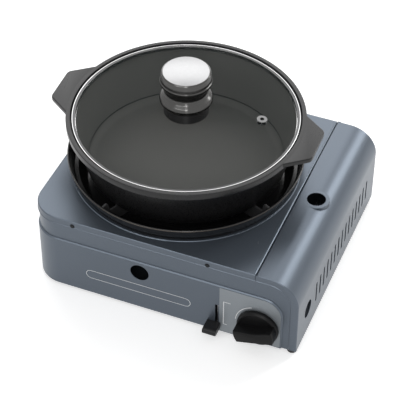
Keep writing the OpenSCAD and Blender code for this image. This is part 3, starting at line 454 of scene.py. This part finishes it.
# The knob's shell is in the darkened chrome: painted dark reflection
turned(
    "lid_knob_shell", fillet(raised(KNOB_Z, shell_out), shell_round, 6) + raised(KNOB_Z, shell_in),
    "lid", KNOB_PAINTED_REFLECTION, ["lid_knob"], segments=KNOB_SIDES,
)
cap = [(0.0, KNOB_H), (27.0, KNOB_H), (27.4, 48.8), (27.4, 47.9), (0.0, 47.8)]
turned(
    "lid_knob_cap", raised(KNOB_Z, cap), "lid", CAP, ["lid_knob"],
    closed=False, segments=KNOB_SIDES,
)
seat = [(SCREW_R, 0.0), (25.2, 0.0), (26.4, 0.7)]
seat += [(26.9 - 0.35 * (k % 2), 1.2 + RIDGED_H * k / (RIDGES - 1)) for k in range(RIDGES)]
stud = [(26.2, SHELL_FOOT), (STUD_R, SHELL_FOOT), (STUD_R, KNOB_H - 1.25), (SCREW_R, KNOB_H - 1.25)]
turned(
    "lid_knob_seat", raised(GLASS_TOP, seat) + raised(KNOB_Z, stud),
    "lid", BLACK, ["lid_knob_base"], segments=KNOB_SIDES,
)

# Bowl: wall with its basin, rolled rim and a bronze ring on the rim as painted highlight
BOWL_R, BOWL_Z, ROLL, BOWL_T = 143.5, TOP + 20.3, 1.3, 1.0
FOOT_R, SLOPE_R, BASIN_R, COLLAR_R, BASIN, COLLAR = 136.5, 131.4, 122.4, 50.0, -20.0, -12.0
wall = [
    (BOWL_R - ROLL, BOWL_Z - ROLL - TOP), (FOOT_R, 0), (SLOPE_R, 0), (BASIN_R, BASIN), (COLLAR_R, BASIN),
    (COLLAR_R, COLLAR), (COLLAR_R + BOWL_T, COLLAR), (COLLAR_R + BOWL_T, BASIN + BOWL_T),
    (BASIN_R - BOWL_T, BASIN + BOWL_T), (SLOPE_R - BOWL_T, BOWL_T), (FOOT_R - BOWL_T, BOWL_T),
    (BOWL_R - ROLL - BOWL_T, BOWL_Z - ROLL - TOP),
]
turned(
    "bowl_wall", fillet(raised(TOP, wall), [0, 1.5, 1.5, 4, 1.5, 0.3, 0.3, 1.0, 3, 1.0, 1.0, 0]),
    "bowl", ENAMEL, ["drip_bowl"],
)
roll = arc(BOWL_R - ROLL, BOWL_Z - ROLL, ROLL, 0, 345, 23)
turned("bowl_rim", roll, "bowl", ENAMEL, ["drip_bowl"])
# Bronze ring on the rolled rim: painted highlight
turned("bowl_rim_painted_highlight", arc(BOWL_R - 0.32, BOWL_Z - 1.0, 0.3, 0, 330, 11), "bowl", BRONZE_PAINTED_HIGHLIGHT)

# Ignition knob and lever
DIAL_X, DIAL_Y, DIAL_Z = 293.0, -2.0, 31.6
GRIP_TURN, GRIP_L, GRIP_H, GRIP_BASE, GRIP_EDGE = 15.0, 45.0, 14.0, 5.0, 1.1
dial_at = Matrix.Translation(at(DIAL_X, DIAL_Y, DIAL_Z)) @ Matrix.Rotation(math.radians(90), 4, "X")
turned(
    "dial_skirt",
    fillet(
        [(3.2, 0.0), (25.5, 0.0), (25.5, 3.4), (23.4, 6.0), (22.4, 6.0), (21.6, 5.2), (3.2, 5.2)],
        [0, 0.3, 0.7, 0.5, 0.3, 0.4, 0],
    ),
    "knob", BLACK, ["control_knob"], segments=96, matrix=dial_at,
)


def grip_plan():
    """Grip with round ends, a waisted upper flank and a straight lower one."""
    flank, waist, end_r = 7.0, 2.2, 24.6
    side = []
    for k in range(21):
        x = -GRIP_L / 2 + GRIP_L * k / 20
        side.append((x, flank - waist * math.cos(math.pi * x / GRIP_L) ** 2))
    ends = arc(0, 0, end_r, 163, 203, 8)
    return ends + [(-x, y) for x, y in reversed(ends)] + list(reversed(side))


grip_at = dial_at @ Matrix.Rotation(math.radians(GRIP_TURN), 4, "Z")
grip_at = grip_at @ Matrix.Translation((0, 0, GRIP_BASE / 1000))
extruded(
    "dial_grip", grip_plan(), GRIP_H, GRIP_EDGE, "knob", BLACK, grip_at, ["control_knob"],
    low=False,
)
# The lever is in the lighter copy of the black plastic: painted light
refined("lock_lever", 0.9, 3, LEVER_PAINTED_LIGHT)

# Sheet and other CAD pieces with broken edges
FIELD_TOP, FIELD_RIGHT, FIELD_CORNER = 78.5, 322.0, 24.0
COVER_X, COVER_Z = WIDTH - CORNER, TOP - CORNER
NEAR, NEAR_ARC = 0.05, 0.2


def field_edge(p):
    """True on the upper and right edge of the pressed field, on its outer skin."""
    x, y, z = layout(p)
    if x < CORNER:
        bend = math.hypot(x - CORNER, min(y, DEPTH - y) - CORNER) - CORNER - SHEET
        return abs(z - FIELD_TOP) < NEAR and (x < 0.3 - SHEET or abs(bend) < 0.3)
    if min(abs(y + SHEET), abs(y - DEPTH - SHEET)) > NEAR:
        return False
    right, up = x - FIELD_RIGHT + FIELD_CORNER, z - FIELD_TOP + FIELD_CORNER
    if right > 0 and up > 0:
        return abs(math.hypot(right, up) - FIELD_CORNER) < NEAR_ARC
    return abs(z - FIELD_TOP) < NEAR or abs(x - FIELD_RIGHT) < NEAR


def plate_edge(p):
    """True on the upper outer edge of the top plate."""
    x, y, z = layout(p)
    y = min(y, DEPTH - y)
    if z < TOP - NEAR:
        return False
    if x < CORNER and y < CORNER:
        return abs(math.hypot(x - CORNER, y - CORNER) - CORNER) < NEAR_ARC
    return x < NEAR or y < NEAR


def cover_edge(p):
    """True on the outer edge of the front and rear of the cover."""
    x, y, z = layout(p)
    if min(y, DEPTH - y) > NEAR:
        return False
    if x > COVER_X and z > COVER_Z:
        return abs(math.hypot(x - COVER_X, z - COVER_Z) - CORNER) < NEAR_ARC
    return x > WIDTH - NEAR or z > TOP - NEAR


refined("body_shell", 0.2, 3, wide=(field_edge, 1.5))
refined("top_plate", 0.25, 3, wide=(plate_edge, 0.9))
refined("cartridge_cover", 0.25, 3, wide=(cover_edge, 0.9))
for node, width in {
    "control_plate": 0.1, "rubber_feet": 0.6, "pot_support": 0.4, "burner_head": 0.3, "burner_body": 0.5,
    "burner_stand": 0.3, "regulator_body": 0.8, "regulator_cap": 0.6, "regulator_screws": 0.3,
    "regulator_bracket": 0.4, "cartridge_cradle": 0.4, "cartridge_pusher": 0.4, "pusher_guides": 0.2,
    "piezo_housing": 0.5, "slide_guide": 0.2,
}.items():
    refined(node, width)
for node in ("top_screws", "base_screws"):
    refined(node, 0.25, mat=DARK)
for node in ("hinge_rod", "hinge_brackets"):
    refined(node, 0.1, 1, PAINT)
for node, obj in frame["nodes"].items():
    if not obj.hide_render:
        obj.data.materials.clear()
        obj.data.materials.append(BY_SLOT[SLOT_OF[node]])

# Hems along the lower edge of the flange and of the cover's front and rear
HEM_R, HEM_IN, HEM_Z = 0.6, 0.1, TOP - FLANGE
HEM_END, COVER_START, COVER_FOOT = 286.2, 288.0, 5.6
hem = [(HEM_END, HEM_IN)] + arc(CORNER, CORNER, CORNER - HEM_IN, 270, 180, 14)
hem += arc(CORNER, DEPTH - CORNER, CORNER - HEM_IN, 180, 90, 14) + [(HEM_END, DEPTH - HEM_IN)]
bead("flange_hem", [(x, y, HEM_Z) for x, y in hem], HEM_R, "stove", (0, 0, 1))
edge = [(COVER_START, HEM_Z), (COVER_X, HEM_Z)] + arc(COVER_X, COVER_Z, CORNER - FLANGE, 90, 0, 14)
edge += [(WIDTH - FLANGE, COVER_FOOT)]
for k, y in enumerate((HEM_IN, DEPTH - HEM_IN)):
    bead(f"cover_hem_{k}", [(x, y, z) for x, z in edge], HEM_R, "cover", (0, 1, 0))

# Rolled lip of the top plate along the cover
LIP_X, LIP_REAR, LIP_L = 284.9, 290.0, 288.5
UPRIGHT = Matrix.Rotation(math.radians(90), 4, "X")
lip = [
    (LIP_X, TOP - 0.3), (LIP_X + 1.6, TOP - 0.3), (LIP_X + 1.65, TOP - 0.1), (LIP_X + 0.35, TOP + 0.42),
    (LIP_X, TOP + 0.1),
]
lip_at = Matrix.Translation(at(0, LIP_REAR, 0)) @ UPRIGHT
extruded("seam_lip", lip, LIP_L, 0, "stove", PAINT, lip_at, ())

# Ends of the hinge: a sleeve round each ear, and the cover's top, front and rear carried on to the seam
HINGE_X, HINGE_Z, CURL = 288.9, TOP - 2.2, 2.2
SLEEVE_R, SLEEVE_L, FLAP_T = 2.02, 4.7, 0.14
COVER_SIDE, CORNER_FOOT = 291.8, HEM_Z - 0.4
sleeve = [(0.0, 0.0), (SLEEVE_R, 0.0), (SLEEVE_R, SLEEVE_L), (0.0, SLEEVE_L)]
corner = arc(HINGE_X, HINGE_Z, CURL, 90, 155, 8)
corner += [(287.3, CORNER_FOOT), (COVER_SIDE, CORNER_FOOT), (COVER_SIDE, TOP)]
flap = [(290.0, 0.7), (COVER_SIDE, 0.7), (COVER_SIDE, 6.2), (288.95, 6.2), (288.95, 2.25), (290.0, 2.25)]
for k, (sleeve_y, wall_y) in enumerate(((1.0, SHEET), (DEPTH - 1.0 - SLEEVE_L, DEPTH))):
    turned(
        f"hinge_sleeve_{k}", sleeve, "stove", PAINT, (), closed=False, segments=32,
        matrix=Matrix.Translation(at(HINGE_X, sleeve_y, HINGE_Z)) @ UPRIGHT.inverted(),
    )
    corner_at = Matrix.Translation(at(0, wall_y, 0)) @ UPRIGHT
    extruded(f"cover_corner_{k}", corner, SHEET, 0, "cover", PAINT, corner_at, ())
    plan = [(x, DEPTH - y) if k else (x, y) for x, y in flap]
    flap_at = Matrix.Translation(at(0, 0, TOP - FLAP_T))
    extruded(f"cover_flap_{k}", plan, FLAP_T, 0, "cover", PAINT, flap_at, ())

# Dark discs on the flange over the screws: painted shade of the screw recesses
SCREW_Z, RECESS_R = TOP - 6.5, 3.05
recess_shade = [(0.0, 0.06), (RECESS_R - 0.15, 0.06), (RECESS_R, 0.0), (RECESS_R, -0.2), (0.0, -0.2)]
for k, x in enumerate((58.15, 228.15)):
    for j, (y, way) in enumerate(((0.0, UPRIGHT), (DEPTH, UPRIGHT.inverted()))):
        turned(
            f"screw_recess_shade_{k}{j}", recess_shade, "stove", DARK, closed=False, segments=32,
            matrix=Matrix.Translation(at(x, y, SCREW_Z)) @ way,
        )

# Printed marks on the front: the lever's travel, the knob's turn and a long outline
PLATE_Y, WALL_Y = -1.23, -0.83
TRAVEL_X, TRAVEL_TOP, TRAVEL_END = 249.5, TOP - 57, TOP - 94
PILL_LEFT, PILL_RIGHT, PILL_Z, PILL_R = 79.7, 201.3, TOP - 77.2, 6.2
stripe("mark_travel", [(TRAVEL_X, TRAVEL_TOP), (TRAVEL_X, TRAVEL_END)], 0.8, PLATE_Y)
stripe("mark_travel_top", [(TRAVEL_X - 0.4, TRAVEL_TOP), (TRAVEL_X + 8.5, TRAVEL_TOP)], 0.7, PLATE_Y)
stripe("mark_travel_end", [(TRAVEL_X - 0.4, TRAVEL_END), (TRAVEL_X + 4.5, TRAVEL_END)], 0.7, PLATE_Y)
stripe("mark_turn", arc(DIAL_X, DIAL_Z, 28.5, 178, 108, 16), 0.8, PLATE_Y)
pill = arc(PILL_RIGHT, PILL_Z, PILL_R, -90, 90, 12) + arc(PILL_LEFT, PILL_Z, PILL_R, 90, 270, 12)
stripe("mark_field", pill + [pill[0]], 0.55, WALL_Y)

# Floor
FLOOR_HALF, FLOOR_Z = 6.0, -0.0003
FLOOR = material("floor_white", (0.93, 0.93, 0.93), 0.9, spec=0.1)
floor_mesh = bpy.data.meshes.new("floor")
ends = [(x * FLOOR_HALF, y * FLOOR_HALF, FLOOR_Z) for x, y in ((-1, -1), (1, -1), (1, 1), (-1, 1))]
floor_mesh.from_pydata(ends, [], [(0, 1, 2, 3)])
floor = bpy.data.objects.new("floor", floor_mesh)
floor.data.materials.append(FLOOR)
bpy.context.scene.collection.objects.link(floor)


def backdrop(tree, low, high):
    """Socket that is high for camera, glossy and transmission rays, and low for the rest."""
    rays = tree.nodes.new("ShaderNodeLightPath")
    seen = rays.outputs["Is Camera Ray"]
    for kind in ("Is Glossy Ray", "Is Transmission Ray"):
        either = tree.nodes.new("ShaderNodeMath")
        either.operation = "MAXIMUM"
        tree.links.new(seen, either.inputs[0])
        tree.links.new(rays.outputs[kind], either.inputs[1])
        seen = either.outputs[0]
    level = tree.nodes.new("ShaderNodeMapRange")
    level.inputs["To Min"].default_value = low
    level.inputs["To Max"].default_value = high
    tree.links.new(seen, level.inputs["Value"])
    return level.outputs["Result"]


white = FLOOR.node_tree.nodes["Principled BSDF"]
white.inputs["Emission Color"].default_value = (1, 1, 1, 1)
FLOOR.node_tree.links.new(backdrop(FLOOR.node_tree, 0.0, 0.41), white.inputs["Emission Strength"])

# Light


def softbox(name, place, target, size, power):
    light = bpy.data.lights.new(name, "AREA")
    light.shape = "RECTANGLE"
    light.size, light.size_y = size
    light.energy = power
    obj = bpy.data.objects.new(name, light)
    obj.location = place
    obj.rotation_euler = (Vector(target) - Vector(place)).to_track_quat("-Z", "Y").to_euler()
    bpy.context.scene.collection.objects.link(obj)


softbox("key", (-0.75, 1.5, 1.5), (0, 0, 0.1), (2.2, 1.6), 22)
softbox("streak", (1.05, 1.5, 1.35), (0.15, 0, 0.1), (0.45, 1.4), 14)
softbox("edge", (-0.05, -1.8, 1.75), (0, -0.1, 0.1), (2.1, 0.4), 12.5)
softbox("strip", (0.73, -1.79, 1.42), (0, 0, 0.2), (0.3, 1.5), 6.5)

scene = bpy.context.scene
scene.view_settings.view_transform = "Standard"
world = bpy.data.worlds.new("studio")
scene.world = world
world.use_nodes = True
sky = world.node_tree.nodes["Background"]
sky.inputs["Color"].default_value = (1, 1, 1, 1)
world.node_tree.links.new(backdrop(world.node_tree, 0.46, 1.0), sky.inputs["Strength"])

# Camera, at the viewing angle solved from the photo
EYE = (0.54554, -1.34675, 1.41627)
FORWARD, UP = Vector((-0.27242, 0.67995, -0.68077)).normalized(), Vector((-0.25840, 0.62984, 0.73248))
camera = bpy.data.cameras.new("camera")
camera.sensor_width = 36
camera.lens = 145.665
camera.clip_end = 20
eye = bpy.data.objects.new("camera", camera)
across = FORWARD.cross(UP).normalized()
aim = Matrix((across, across.cross(FORWARD), -FORWARD)).transposed().to_4x4()
eye.matrix_world = Matrix.Translation(EYE) @ aim
scene.collection.objects.link(eye)
scene.camera = eye
